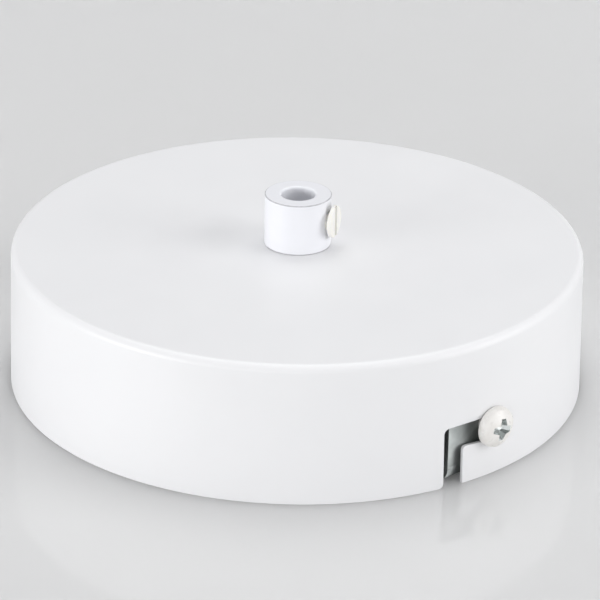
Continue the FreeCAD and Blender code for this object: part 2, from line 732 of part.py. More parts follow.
def make_terminal_housing():
    body = new_body("terminal_housing")
    left, right = "block_middle - block_length / 2", "block_middle + block_length / 2"
    front, back = "0 - block_width / 2", "block_width / 2"
    block_sketch = new_sketch(body, "block_sketch", "XY_Plane", "strap_thickness")
    draw_outline(block_sketch, [(left, front), (right, front), (right, back), (left, back)])
    extrude(body, "Pad", "block", block_sketch, "block_top - strap_thickness")

    # Chimneys round the screws, with their bores down to the tube
    chimneys = new_sketch(body, "chimney_sketch", "XY_Plane", "block_top")
    bores = new_sketch(body, "chimney_bore_sketch", "XY_Plane", "tube_top")
    for step in POLES.values():
        for side in SIDES.values():
            middle = (pole_place(step), f"({side}) * terminal_screw_offset")
            draw_circle(chimneys, *middle, "chimney_radius")
            draw_circle(bores, *middle, "chimney_bore_radius")
    extrude(body, "Pad", "chimneys", chimneys, "chimney_height")
    extrude(body, "Pocket", "chimney_bores", bores, f"block_roof + chimney_height + {BEYOND}")

    # A closed seat for each tube, and a wire entry at both of its ends
    seats = new_sketch(body, "seat_sketch", "XZ_Plane", "0 - tube_length / 2 - tube_gap")
    entries = new_sketch(body, "entry_sketch", "XZ_Plane", "0 - block_width")
    for step in POLES.values():
        middle = pole_place(step)
        near = f"{middle} - tube_width / 2 - tube_gap"
        far = f"{middle} + tube_width / 2 + tube_gap"
        low, high = "tube_bottom - tube_gap", "tube_top + tube_gap"
        draw_outline(seats, [(near, low), (far, low), (far, high), (near, high)])
        draw_circle(entries, middle, "wire_axis", "wire_entry_radius")
    extrude(body, "Pocket", "tube_seats", seats, "tube_length + 2 * tube_gap")
    extrude(body, "Pocket", "wire_entries", entries, "2 * block_width")

    # Waists between the poles, and the hole for the fixing screw
    waists = new_sketch(body, "waist_sketch", "XY_Plane", "strap_thickness")
    grooves = new_sketch(body, "groove_sketch", "XZ_Plane", "0 - block_width")
    for step in ("0 - 0.5", "0.5"):
        middle = pole_place(step)
        near, far = f"{middle} - block_waist_width / 2", f"{middle} + block_waist_width / 2"
        draw_outline(waists, [
            (near, f"{front} - {BEYOND}"), (far, f"{front} - {BEYOND}"),
            (far, f"{front} + block_waist_depth"), (near, f"{front} + block_waist_depth"),
        ])
        draw_outline(waists, [
            (near, f"{back} - block_waist_depth"), (far, f"{back} - block_waist_depth"),
            (far, f"{back} + {BEYOND}"), (near, f"{back} + {BEYOND}"),
        ])
        draw_outline(grooves, [
            (middle, "block_top - block_groove_depth"), (far, f"block_top + {BEYOND}"),
            (near, f"block_top + {BEYOND}"),
        ])
    extrude(body, "Pocket", "waists", waists, f"block_top + {BEYOND}")
    extrude(body, "Pocket", "grooves", grooves, "2 * block_width")
    hole_sketch = new_sketch(body, "hole_sketch", "XY_Plane", "strap_thickness")
    draw_circle(hole_sketch, "fixing_middle", "0", "fixing_screw_radius + fixing_clearance")
    extrude(body, "Pocket", "fixing_hole", hole_sketch, f"block_top + {BEYOND}")
    return body


def make_terminal_tube(pole, step):
    """A brass tube of square section, with the wire bore low in it and two threads from above."""
    body = new_body(f"{pole}_terminal_tube", (pole_place(step), "0", "0"))
    section = new_sketch(body, "section", "XZ_Plane", "0 - tube_length / 2")
    half = "tube_width / 2"
    draw_outline(section, [
        (f"0 - {half}", "tube_bottom"), (half, "tube_bottom"), (half, "tube_top"), (f"0 - {half}", "tube_top"),
    ])
    extrude(body, "Pad", "tube", section, "tube_length")
    bore_sketch = new_sketch(body, "bore_sketch", "XZ_Plane", "0 - tube_length")
    draw_circle(bore_sketch, "0", "wire_axis", "wire_bore_radius")
    extrude(body, "Pocket", "wire_bore", bore_sketch, "2 * tube_length")
    thread_sketch = new_sketch(body, "thread_sketch", "XY_Plane", "wire_axis")
    for side in SIDES.values():
        middle = f"({side}) * terminal_screw_offset"
        draw_circle(thread_sketch, "0", middle, "terminal_screw_radius + thread_clearance")
    extrude(body, "Pocket", "threads", thread_sketch, "tube_height")
    return body


# Building, testing and writing every sub-part


def make_all():
    parts = [
        make_cup(),
        make_cord_grip(),
        make_clamp_screw(),
        make_lock_nut(),
        make_toothed_washer(),
        make_bracket(),
        make_side_screw("side_screw_front", 1),
        make_side_screw("side_screw_rear", -1),
        make_upright_screw(
            "earth_screw", ("earth_middle", "0", "earth_seat"), "earth_screw_radius", "earth_seat - foot_gap",
            "earth_head_radius", "earth_head_height", "clamp_slot_width", "fixing_slot_depth"),
        make_earth_plate(),
        make_terminal_housing(),
        make_upright_screw(
            "terminal_fixing_screw", ("fixing_middle", "0", "block_top"), "fixing_screw_radius",
            "block_top - foot_gap", "fixing_head_radius", "fixing_head_height", "terminal_slot_width",
            "fixing_slot_depth"),
    ]
    for pole, step in POLES.items():
        parts.append(make_terminal_tube(pole, step))
        for name, side in SIDES.items():
            place = (pole_place(step), f"({side}) * terminal_screw_offset", "terminal_seat")
            parts.append(make_upright_screw(
                f"{pole}_{name}_screw", place, "terminal_screw_radius", "terminal_seat - terminal_tip",
                "terminal_head_radius", "terminal_head_height", "terminal_slot_width", "terminal_slot_depth"))
    return parts


def check_and_write(parts):
    doc.recompute()
    for item in doc.Objects:
        if "Invalid" in item.State or "Error" in item.State:
            raise RuntimeError(f"{item.Name} of {item.Label} failed: {item.State}")
    for part in parts:
        if part.Shape.isNull() or not part.Shape.isValid():
            raise RuntimeError(f"{part.Label} has no valid shape")
        if not part.Shape.Solids:
            raise RuntimeError(f"{part.Label} has no solid")
    os.makedirs("parts", exist_ok=True)
    for part in parts:
        part.Shape.exportStep(f"parts/{part.Label}.step")
        box = part.Shape.BoundBox
        print(f"{part.Label}: {len(part.Shape.Solids)} solid, {part.Shape.Volume:.1f} mm3, "
              f"x {box.XMin:.2f} to {box.XMax:.2f}, y {box.YMin:.2f} to {box.YMax:.2f}, "
              f"z {box.ZMin:.2f} to {box.ZMax:.2f}")


check_and_write(make_all())
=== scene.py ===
import json
import math

import bmesh
import bpy
from mathutils import Matrix, Quaternion, Vector
from mathutils.geometry import delaunay_2d_cdt


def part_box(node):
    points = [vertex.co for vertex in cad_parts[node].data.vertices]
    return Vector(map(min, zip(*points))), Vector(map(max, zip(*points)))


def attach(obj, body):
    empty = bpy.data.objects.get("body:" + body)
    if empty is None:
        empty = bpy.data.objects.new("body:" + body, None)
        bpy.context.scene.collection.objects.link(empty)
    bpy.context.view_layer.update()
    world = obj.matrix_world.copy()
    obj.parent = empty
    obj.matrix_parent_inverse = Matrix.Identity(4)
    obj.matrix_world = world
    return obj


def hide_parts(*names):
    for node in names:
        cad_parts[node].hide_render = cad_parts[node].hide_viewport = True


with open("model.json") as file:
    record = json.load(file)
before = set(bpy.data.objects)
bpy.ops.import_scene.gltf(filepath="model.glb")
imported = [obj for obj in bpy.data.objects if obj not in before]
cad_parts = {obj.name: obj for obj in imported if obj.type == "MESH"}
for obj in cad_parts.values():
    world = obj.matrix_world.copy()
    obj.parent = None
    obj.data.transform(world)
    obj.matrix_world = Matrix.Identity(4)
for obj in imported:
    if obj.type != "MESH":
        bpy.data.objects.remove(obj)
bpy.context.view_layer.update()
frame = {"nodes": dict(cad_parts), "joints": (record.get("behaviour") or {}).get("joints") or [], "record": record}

nodes = frame["nodes"]
MM = 0.001

# Sizes that the frame gives

cup_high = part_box("canopy_cup")[1]
grip_low, grip_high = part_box("cord_grip")
strap_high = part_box("mounting_bracket")[1]
nut_low, nut_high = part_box("lock_nut")
joints = {joint["name"]: joint for joint in frame["joints"]}
mounts = {mount["name"]: mount for mount in frame["record"]["mounts"]}
ceiling_slot = mounts["ceiling_screw_slots"]["dims"]

RIM_RADIUS = cup_high.x
CUP_TOP = cup_high.z
GRIP_TOP = grip_high.z
STEM_END = grip_low.z
CORD_RADIUS = mounts["cord_bore"]["dims"]["r_mm"] * MM
CLAMP_AXIS = Vector(joints["cord_clamp_travel"]["axis"])
SLOT_HEIGHT = joints["canopy_turn"]["pos_m"][2]
LEG_ANGLE = math.radians(joints["canopy_turn"]["range_deg"][1])
STRAP_FACE = strap_high.x
STRAP_HALF_WIDTH = strap_high.y
STRAP_TOP = strap_high.z
CABLE_HOLE_RADIUS = mounts["supply_cable_hole"]["dims"]["r_mm"] * MM
CEILING_SLOT_SPACING = ceiling_slot["spacing_x_mm"] * MM
CEILING_SLOT_RADIUS = ceiling_slot["hole_r_mm"] * MM
CEILING_SLOT_LENGTH = ceiling_slot["slot_length_mm"] * MM

# Sizes of the cup

WALL_DRAFT = 0.6 * MM
CUP_WALL = 0.7 * MM
CORNER_RADIUS = 1.6 * MM
WALL_TOP = CUP_TOP - CORNER_RADIUS
SLOT_WIDTH = 4.4 * MM
LEG_MIDDLE = (RIM_RADIUS - CUP_WALL / 2) * math.sin(LEG_ANGLE)
ARM_FLOOR = 8.1 * MM
LOCK_FLOOR = 7.4 * MM
SLOT_END_EASE = 0.1 * MM
SLOT_CORNER = 1.2 * MM
TAB_CORNER = 0.9 * MM
RIM_CORNER = 1.0 * MM
COAT_EDGE = 0.16 * MM
STEM_HOLE_RADIUS = 5.15 * MM

# The cup's mesh: its segments, its rows, and a window round each slot that has a mesh of its own

CUP_SEGMENTS = 240
TURN_STEP = math.tau / CUP_SEGMENTS
WALL_ROWS = 10
ROW_HEIGHTS = [WALL_TOP * i / WALL_ROWS for i in range(WALL_ROWS + 1)]
CORNER_STEPS = 12
CROWN_SHARES = (0.9, 0.7, 0.5, 0.3, 0.2)
WINDOW_LEFT = -10
WINDOW_RIGHT = 5
WINDOW_TURNS = [TURN_STEP * i for i in range(WINDOW_LEFT, WINDOW_RIGHT + 1)]
RIM_MARGIN = 0.5 * MM
SLOT_MARGIN = 0.7 * MM
WELD_DISTANCE = 0.01 * MM
FLAT_WELD_DISTANCE = 1e-8
INSIDE_ONLY = 1

# Sizes of the cord grip and its screw

GRIP_RADIUS = 6.95 * MM
GRIP_EDGE = 0.2 * MM
GRIP_SOFT_EDGE = 0.06 * MM
# The share of the grip's edge rounding that is painted grey: painted shade at the foot, a grey line at the top
EDGE_LINE_SHARE = 0.9
MOUTH_EDGE = 0.5 * MM
STEM_RADIUS = 5.0 * MM
STEM_BEVEL = 0.4 * MM
STEM_PLAIN_LENGTH = 1.0 * MM
STEM_PITCH = 1.0 * MM
STEM_THREAD_DEPTH = 0.5 * MM
CLAMP_DROP = 5.0 * MM
CLAMP_SPOT_FACE = 6.7 * MM
CLAMP_SPOT_RADIUS = 3.75 * MM
CLAMP_SPOT_CUT = 3.0 * MM
CLAMP_HOLE_CUT = 5.0 * MM
CLAMP_SEAT = 7.55 * MM
CLAMP_HEAD_RADIUS = 3.4 * MM
CLAMP_HEAD_HEIGHT = 0.85 * MM
CLAMP_HEAD_EDGE = 0.3 * MM
CLAMP_SEAT_EDGE = 0.12 * MM
CLAMP_LENGTH = 3.9 * MM
CLAMP_SLOT_WIDTH = 1.2 * MM
CLAMP_SLOT_DEPTH = 0.45 * MM

# Sizes that the screws share

SCREW_RADIUS = 2.0 * MM
SCREW_PITCH = 0.7 * MM
SCREW_THREAD_DEPTH = 0.4 * MM
SCREW_SOFT_EDGE = 0.08 * MM
THREAD_GAP = 0.05 * MM
THREAD_HOLE = SCREW_RADIUS + THREAD_GAP
THREAD_INSET = 0.1 * MM
POINT_BEVEL = 0.4 * MM
CUT_PAST = 1.0 * MM

# Sizes of the two side screws

SIDE_LENGTH = 6.0 * MM
SIDE_PLAIN_LENGTH = 0.3 * MM
SIDE_HEAD_RADIUS = 4.2 * MM
SIDE_HEAD_HEIGHT = 3.2 * MM
SIDE_HEAD_BEVEL = 0.3 * MM
SIDE_SOFT_EDGE = 0.1 * MM
SIDE_DOME_RADIUS = 6.2 * MM
SIDE_DOME_SHARE = 0.94
SIDE_DOME_STEPS = 16
SIDE_EDGE_DROP = 0.5 * MM
SIDE_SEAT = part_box("side_screw_front")[1].x - SIDE_HEAD_HEIGHT
CROSS_ANGLE = math.radians(81)
CROSS_SPAN = 5.5 * MM
CROSS_WIDTH = 1.2 * MM
CROSS_FLOOR_SPAN = 2.2 * MM
CROSS_FLOOR_WIDTH = 0.8 * MM
CROSS_FLARE = 0.75
CROSS_DEPTH = 1.7 * MM

# Sizes of the strap and the nut

STRAP_THICKNESS = 1.5 * MM
STRAP_INSIDE = STRAP_FACE - STRAP_THICKNESS
BEND_RADIUS = 1.5 * MM
FLANGE_CORNER = 3.0 * MM
STAMPED_EDGE = 0.12 * MM
FIXING_HOLE_RADIUS = 1.3 * MM
COLLAR_HEIGHT = 1.2 * MM
COLLAR_WALL = 0.9 * MM
COLLAR_STOCK = 0.3 * MM
COLLAR_BEVEL = 0.3 * MM
JOIN_OVERLAP = 0.001 * MM
NUT_FLATS = 14.0 * MM
NUT_HALF_CORNER = math.radians(30)
NUT_SOFT_EDGE = 0.1 * MM

# Sizes of the upright screws inside

TERMINAL_SCREW_RADIUS = 1.25 * MM
TERMINAL_PITCH = 0.45 * MM
TERMINAL_HEAD_HEIGHT = 1.5 * MM
TERMINAL_SLOT_WIDTH = 0.7 * MM
TERMINAL_SLOT_DEPTH = 0.7 * MM
EARTH_HEAD_HEIGHT = 2.4 * MM
FIXING_HEAD_HEIGHT = 1.8 * MM
FIXING_SLOT_DEPTH = 0.9 * MM
UPRIGHT_THREAD_SHARE = 0.6

# The span of a noise that a material uses

NOISE_LOW = 0.3
NOISE_HIGH = 0.7


# Meshes

def add_piece(name, mesh_data, body, slot, *materials):
    """Puts a mesh into the scene as a smooth piece that rides on a body. A cutter has no body."""
    mesh = bpy.data.meshes.new(name)
    mesh_data.to_mesh(mesh)
    mesh_data.free()
    piece = bpy.data.objects.new(name, mesh)
    bpy.context.scene.collection.objects.link(piece)
    for material in materials:
        mesh.materials.append(material)
    mesh.shade_smooth()
    if body:
        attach(piece, body)
    return piece


def around_z(radius, angle, height):
    return (radius * math.cos(angle), radius * math.sin(angle), height)


def middle_x(node):
    low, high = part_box(node)
    return (low.x + high.x) / 2


def round_corners(corners, steps=5):
    """A closed outline with its corners rounded. A corner is (x, y) or (x, y, radius)."""
    points = []
    count = len(corners)
    for i, corner in enumerate(corners):
        here = Vector(corner[:2])
        if len(corner) == 2:
            points.append(here)
            continue
        before = (Vector(corners[i - 1][:2]) - here).normalized()
        after = (Vector(corners[(i + 1) % count][:2]) - here).normalized()
        half = before.angle(after) / 2
        reach = corner[2] / math.tan(half)
        centre = here + (before + after).normalized() * (corner[2] / math.sin(half))
        start = here + before * reach
        end = here + after * reach
        spread = (end - centre).angle_signed(start - centre)
        for step in range(steps + 1):
            turned = Matrix.Rotation(spread * step / steps, 2) @ (start - centre)
            points.append(centre + turned)
    return points


def thread_stretch(radius, low, high, pitch, depth, steps_per_turn=6):
    """Profile points of a thread, from low to high, that runs out softly at both ends."""
    count = max(2, round((high - low) / pitch * steps_per_turn))
    points = []
    for i in range(count + 1):
        height = low + (high - low) * i / count
        run_out = min(1.0, (height - low) / pitch, (high - height) / pitch)
        points.append((radius, height, depth * run_out, pitch))
    return points


def shank(radius, foot, pitch, depth, plain_length=THREAD_INSET):
    """A screw's profile below its head: a bevelled point, and a thread that ends a plain length below 0."""
    point = [(0, foot), (radius - POINT_BEVEL, foot)]
    return point + thread_stretch(radius, foot + POINT_BEVEL, -plain_length, pitch, depth)


def join_rings(data, lower, upper):
    """Faces between two rings of points. One of them may be a single point."""
    count = max(len(lower), len(upper))
    for i in range(count):
        following = (i + 1) % count
        corners = [lower[i % len(lower)], lower[following % len(lower)],
                   upper[following % len(upper)], upper[i % len(upper)]]
        data.faces.new(list(dict.fromkeys(corners)))


def lathe(profile, segments=96):
    """A closed surface about Z.

    The profile walks (radius, height) with the solid on its left. It ends on the axis at both ends, or closes
    on itself. Points with a thread's depth and pitch wind round as a helix.
    """
    data = bmesh.new()
    rings = []
    for point in profile:
        radius, height = point[:2]
        depth, pitch = point[2:] or (0.0, 1.0)
        if radius == 0:
            rings.append([data.verts.new((0, 0, height))])
            continue
        ring = []
        for i in range(segments):
            phase = (height / pitch - i / segments) % 1.0
            groove = depth * (1 - abs(2 * phase - 1))
            ring.append(data.verts.new(around_z(radius - groove, math.tau * i / segments, height)))
        rings.append(ring)
    for lower, upper in zip(rings, rings[1:]):
        join_rings(data, lower, upper)
    if profile[0][0] != 0:
        join_rings(data, rings[-1], rings[0])
    bmesh.ops.recalc_face_normals(data, faces=data.faces)
    return data


def cylinder(radius, low, high, segments):
    return lathe([(0, low), (radius, low), (radius, high), (0, high)], segments)


def prism(outline, axis, low, high):
    """An outline, stretched along an axis. The outline's x and y are the other two axes in order."""
    data = bmesh.new()
    others = [i for i in range(3) if i != axis]
    ends = []
    for reach in (low, high):
        ring = []
        for point in outline:
            place = Vector((0, 0, 0))
            place[axis] = reach
            for other, value in zip(others, point):
                place[other] = value
            ring.append(data.verts.new(place))
        ends.append(ring)
        data.faces.new(ring)
    join_rings(data, *ends)
    bmesh.ops.recalc_face_normals(data, faces=data.faces)
    return data


def circle_outline(x, y, radius, steps=48):
    turns = [math.tau * i / steps for i in range(steps)]
    return [(x + radius * math.cos(t), y + radius * math.sin(t)) for t in turns]


def obround_outline(x, length, radius, steps=16):
    """A round-ended slot along x, centred on (x, 0)."""
    reach = length / 2 - radius
    points = []
    for side, start in ((1, -math.pi / 2), (-1, math.pi / 2)):
        for i in range(steps + 1):
            angle = start + math.pi * i / steps
            points.append((x + side * reach + radius * math.cos(angle), radius * math.sin(angle)))
    return points


def bake(piece):
    """Applies a piece's modifiers to its mesh."""
    bpy.context.view_layer.update()
    evaluated = piece.evaluated_get(bpy.context.evaluated_depsgraph_get())
    old = piece.data
    piece.data = bpy.data.meshes.new_from_object(evaluated)
    piece.modifiers.clear()
    bpy.data.meshes.remove(old)


def carve(piece, cutter_data, place=Matrix(), operation="DIFFERENCE"):
    """Cuts a closed mesh out of a piece, joins it on, or keeps what they share.

    The faces that come from the closed mesh take the piece's last material.
    """
    for face in cutter_data.faces:
        face.material_index = max(0, len(piece.data.materials) - 1)
    cutter = add_piece("cutter", cutter_data, None, None, *piece.data.materials)
    cutter.matrix_world = place
    boolean = piece.modifiers.new("carve", "BOOLEAN")
    boolean.operation = operation
    boolean.solver = "EXACT"
    boolean.object = cutter
    bake(piece)
    bpy.data.objects.remove(cutter)


def move_mesh(piece, place):
    """Moves a piece's mesh, so that its object stays at the origin."""
    piece.data.transform(place)
    piece.data.update()


def soften(piece, width, segments=2, angle=40):
    """Rounds a smooth piece's sharp edges, and keeps the wide faces flat in the shading."""
    piece.data.shade_smooth()
    bevel = piece.modifiers.new("soft edges", "BEVEL")
    bevel.width = width
    bevel.segments = segments
    bevel.limit_method = "ANGLE"
    bevel.angle_limit = math.radians(angle)
    bevel.use_clamp_overlap = True
    weights = piece.modifiers.new("flat faces", "WEIGHTED_NORMAL")
    weights.keep_sharp = True


# Materials

def shader(name, colour, roughness, metallic=0.0, specular=0.5):
    """A principled material whose even values sit on its own sockets."""
    material = bpy.data.materials.new(name)
    material.use_nodes = True
    surface = material.node_tree.nodes["Principled BSDF"]
    surface.inputs["Base Color"].default_value = (*colour, 1)
    surface.inputs["Roughness"].default_value = roughness
    surface.inputs["Metallic"].default_value = metallic
    surface.inputs["Specular IOR Level"].default_value = specular
    return material


def add_noise(material, scale, detail=3.0, stretch=(1, 1, 1)):
    """A noise over the piece's own space, in features per metre."""
    tree = material.node_tree
    place = tree.nodes.new("ShaderNodeTexCoord")
    spread = tree.nodes.new("ShaderNodeMapping")
    spread.inputs["Scale"].default_value = stretch
    noise = tree.nodes.new("ShaderNodeTexNoise")
    noise.inputs["Scale"].default_value = scale
    noise.inputs["Detail"].default_value = detail
    tree.links.new(place.outputs["Object"], spread.inputs["Vector"])
    tree.links.new(spread.outputs["Vector"], noise.inputs["Vector"])
    return noise


def vary_roughness(material, noise, low, high):
    tree = material.node_tree
    span = tree.nodes.new("ShaderNodeMapRange")
    span.inputs["From Min"].default_value = NOISE_LOW
    span.inputs["From Max"].default_value = NOISE_HIGH
    span.inputs["To Min"].default_value = low
    span.inputs["To Max"].default_value = high
    tree.links.new(noise.outputs["Fac"], span.inputs["Value"])
    tree.links.new(span.outputs["Result"], tree.nodes["Principled BSDF"].inputs["Roughness"])


def vary_colour(material, noise, dark, light):
    tree = material.node_tree
    ramp = tree.nodes.new("ShaderNodeValToRGB")
    ramp.color_ramp.elements[0].position = NOISE_LOW
    ramp.color_ramp.elements[0].color = (*dark, 1)
    ramp.color_ramp.elements[1].position = NOISE_HIGH
    ramp.color_ramp.elements[1].color = (*light, 1)
    tree.links.new(noise.outputs["Fac"], ramp.inputs["Fac"])
    tree.links.new(ramp.outputs["Color"], tree.nodes["Principled BSDF"].inputs["Base Color"])


def add_bump(material, noise, height, strength):
    tree = material.node_tree
    bump = tree.nodes.new("ShaderNodeBump")
    bump.inputs["Distance"].default_value = height
    bump.inputs["Strength"].default_value = strength
    tree.links.new(noise.outputs["Fac"], bump.inputs["Height"])
    tree.links.new(bump.outputs["Normal"], tree.nodes["Principled BSDF"].inputs["Normal"])


def make_powder_coat():
    """Satin white powder coat with a fine orange peel and faint cloudiness."""
    material = shader("powder_coat", (0.83, 0.83, 0.84), roughness=0.42)
    clouds = add_noise(material, scale=35.0, detail=2.0)
    vary_colour(material, clouds, dark=(0.826, 0.826, 0.838), light=(0.84, 0.84, 0.85))
    vary_roughness(material, add_noise(material, scale=180.0), low=0.36, high=0.46)
    orange_peel = add_noise(material, scale=900.0, detail=2.0)
    add_bump(material, orange_peel, height=0.02 * MM, strength=0.35)
    return material


def make_grip_coat():
    """The grip's own coat is a little cooler and smoother than the cup's."""
    material = shader("grip_coat", (0.84, 0.845, 0.88), roughness=0.34)
    clouds = add_noise(material, scale=90.0, detail=2.0)
    vary_colour(material, clouds, dark=(0.83, 0.835, 0.87), light=(0.85, 0.855, 0.89))
    vary_roughness(material, add_noise(material, scale=400.0), low=0.3, high=0.38)
    orange_peel = add_noise(material, scale=1500.0, detail=2.0)
    add_bump(material, orange_peel, height=0.015 * MM, strength=0.3)
    return material


def make_grip_edge():
    """Grey on the grip's rounded edges: painted shade at the foot, where the grip meets the crown, and a grey line
    at the top.
    """
    material = shader("grip_edge", (0.5, 0.5, 0.52), roughness=0.45)
    edge_mottle = add_noise(material, scale=700.0, detail=2.0)
    vary_colour(material, edge_mottle, dark=(0.42, 0.42, 0.44), light=(0.58, 0.58, 0.6))
    return material


def make_screw_enamel():
    """Warm white enamel over a rolled head, with slight unevenness."""
    material = shader("screw_enamel", (0.84, 0.82, 0.79), roughness=0.3)
    clouds = add_noise(material, scale=500.0)
    vary_colour(material, clouds, dark=(0.81, 0.785, 0.75), light=(0.86, 0.845, 0.82))
    vary_roughness(material, add_noise(material, scale=900.0), low=0.24, high=0.4)
    ripple = add_noise(material, scale=700.0, detail=2.0)
    add_bump(material, ripple, height=0.05 * MM, strength=0.4)
    return material


def make_nylon():
    """Natural nylon, a little waxy and translucent."""
    material = shader("natural_nylon", (0.84, 0.83, 0.79), roughness=0.4)
    surface = material.node_tree.nodes["Principled BSDF"]
    surface.inputs["Subsurface Weight"].default_value = 0.25
    surface.inputs["Subsurface Scale"].default_value = 0.6 * MM
    surface.inputs["Subsurface Radius"].default_value = (1.0, 0.9, 0.7)
    vary_roughness(material, add_noise(material, scale=600.0), low=0.34, high=0.46)
    grain = add_noise(material, scale=1200.0, detail=2.0)
    add_bump(material, grain, height=0.02 * MM, strength=0.3)
    return material


def make_zinc():
    """Bright zinc plate on turned parts."""
    material = shader("zinc_plate", (0.60, 0.62, 0.61), roughness=0.32, metallic=1.0)
    clouds = add_noise(material, scale=120.0)
    vary_colour(material, clouds, dark=(0.54, 0.565, 0.56), light=(0.66, 0.68, 0.67))
    vary_roughness(material, add_noise(material, scale=900.0), low=0.24, high=0.42)
    return material


def make_rolled_zinc():
    """Dull zinc plate over rolled steel, with a faint grain along X."""
    material = shader("rolled_zinc", (0.36, 0.38, 0.376), roughness=0.58, metallic=1.0)
    grain = add_noise(material, scale=300.0, detail=4.0, stretch=(0.15, 1, 1))
    clouds = add_noise(material, scale=120.0)
    vary_colour(material, clouds, dark=(0.32, 0.34, 0.336), light=(0.40, 0.42, 0.416))
    vary_roughness(material, grain, low=0.5, high=0.66)
    add_bump(material, grain, height=0.01 * MM, strength=0.4)
    return material


def make_brass():
    """Turned and drawn brass, barely tarnished."""
    material = shader("brass", (0.80, 0.60, 0.28), roughness=0.28, metallic=1.0)
    tarnish = add_noise(material, scale=250.0)
    vary_colour(material, tarnish, dark=(0.70, 0.50, 0.22), light=(0.86, 0.67, 0.34))
    vary_roughness(material, add_noise(material, scale=700.0), low=0.2, high=0.38)
    return material


def make_housing_plastic():
    """Moulded white nylon with a fine spark-eroded texture."""
    material = shader("moulded_plastic", (0.80, 0.80, 0.77), roughness=0.5)
    vary_roughness(material, add_noise(material, scale=500.0), low=0.44, high=0.56)
    texture = add_noise(material, scale=2500.0, detail=2.0)
    add_bump(material, texture, height=0.02 * MM, strength=0.4)
    return material


powder_coat = make_powder_coat()
grip_coat = make_grip_coat()
grip_edge = make_grip_edge()
screw_enamel = make_screw_enamel()
nylon = make_nylon()
zinc = make_zinc()
rolled_zinc = make_rolled_zinc()
brass = make_brass()
housing_plastic = make_housing_plastic()


# The cup, as a sheet with its slots, thickened afterwards

def wall_radius(height):
    return RIM_RADIUS - WALL_DRAFT * height / CUP_TOP


def slot_outline():
    """One slot's edge in the plane that it is punched in.

    It goes from the rim up the leg's far side, along the arm's roof, round its closed end, and back over the
    tab to the rim.
    """
    far = -LEG_MIDDLE - SLOT_WIDTH / 2
    near = -LEG_MIDDLE + SLOT_WIDTH / 2
    roof = SLOT_HEIGHT + SLOT_WIDTH / 2
    beside = far - 2 * RIM_CORNER
    half = (roof - LOCK_FLOOR) / 2
    middle = (roof + LOCK_FLOOR) / 2
    radius = half + SLOT_END_EASE
    end_middle = SLOT_WIDTH / 2 - math.sqrt(radius ** 2 - (SLOT_HEIGHT - middle) ** 2)
    spread = math.asin(half / radius)
    start = end_middle + radius * math.cos(spread)
    corners = [
        (beside, 0), (far, 0, RIM_CORNER), (far, roof, SLOT_CORNER), (start, roof),
        (start, LOCK_FLOOR), (near, ARM_FLOOR, TAB_CORNER), (near, 0),
    ]
    points = round_corners(corners, steps=6)[1:]
    cap = points.index(Vector((start, roof)))
    steps = 12
    arc = []
    for i in range(1, steps):
        angle = spread - 2 * spread * i / steps
        arc.append(Vector((end_middle + radius * math.cos(angle), middle + radius * math.sin(angle))))
    return points[:cap + 1] + arc + points[cap + 1:]


def near_slot(across, height):
    """Whether a place in the wall lies in the slot or within SLOT_MARGIN of it."""
    half = SLOT_WIDTH / 2 + SLOT_MARGIN
    if height >= SLOT_HEIGHT + half:
        return False
    in_leg = abs(across + LEG_MIDDLE) < half
    in_arm = -LEG_MIDDLE - half < across < half and height > LOCK_FLOOR - SLOT_MARGIN
    return in_leg or in_arm


def window_border():
    """The window's edge as (turn, height): the rim with the slot's edge in it, then round the plain wall."""
    edge = slot_outline()
    start = edge[0].x - RIM_MARGIN
    end = edge[-1].x + RIM_MARGIN
    border = [(t, 0) for t in WINDOW_TURNS if RIM_RADIUS * math.sin(t) < start]
    border += [(math.asin(p.x / wall_radius(p.y)), p.y) for p in edge]
    border += [(t, 0) for t in WINDOW_TURNS if RIM_RADIUS * math.sin(t) > end]
    border += [(WINDOW_TURNS[-1], z) for z in ROW_HEIGHTS[1:]]
    border += [(t, WALL_TOP) for t in reversed(WINDOW_TURNS[:-1])]
    border += [(WINDOW_TURNS[0], z) for z in reversed(ROW_HEIGHTS[1:-1])]
    return border


def window_mesh():
    """The piece of wall round one slot, as (turn, height) points and faces that match the plain wall."""
    border = window_border()
    inside = []
    for turn in WINDOW_TURNS[1:-1]:
        for height in ROW_HEIGHTS[1:-1]:
            if not near_slot(RIM_RADIUS * math.sin(turn), height):
                inside.append((turn, height))
    flat = [Vector((t * RIM_RADIUS, z)) for t, z in border + inside]
    outline = list(range(len(border)))
    result = delaunay_2d_cdt(flat, [], [outline], INSIDE_ONLY, FLAT_WELD_DISTANCE, True)
    places, _, faces, _, _, origins = result
    points = [(p.x / RIM_RADIUS, p.y) for p in places]
    return points, [face for face, origin in zip(faces, origins) if origin]


def cup_profile():
    """The cup's outside as (radius, height), from the rim to the stem hole."""
    crown_edge = wall_radius(CUP_TOP) - CORNER_RADIUS
    profile = [(wall_radius(height), height) for height in ROW_HEIGHTS]
    for i in range(1, CORNER_STEPS + 1):
        angle = math.pi / 2 * i / CORNER_STEPS
        radius = crown_edge + CORNER_RADIUS * math.cos(angle)
        profile.append((radius, WALL_TOP + CORNER_RADIUS * math.sin(angle)))
    profile += [(crown_edge * share, CUP_TOP) for share in CROWN_SHARES]
    profile.append((STEM_HOLE_RADIUS, CUP_TOP))
    return profile


def add_plain_sheet(data):
    """The crown, the corner and the wall, without the two windows."""
    rings = []
    for radius, height in cup_profile():
        places = [around_z(radius, TURN_STEP * i, height) for i in range(CUP_SEGMENTS)]
        rings.append([data.verts.new(place) for place in places])
    for row, (lower, upper) in enumerate(zip(rings, rings[1:])):
        for i in range(CUP_SEGMENTS):
            past_window_left = (i - WINDOW_LEFT) % (CUP_SEGMENTS // 2)
            if row < WALL_ROWS and past_window_left < WINDOW_RIGHT - WINDOW_LEFT:
                continue
            following = (i + 1) % CUP_SEGMENTS
            data.faces.new([lower[i], lower[following], upper[following], upper[i]])


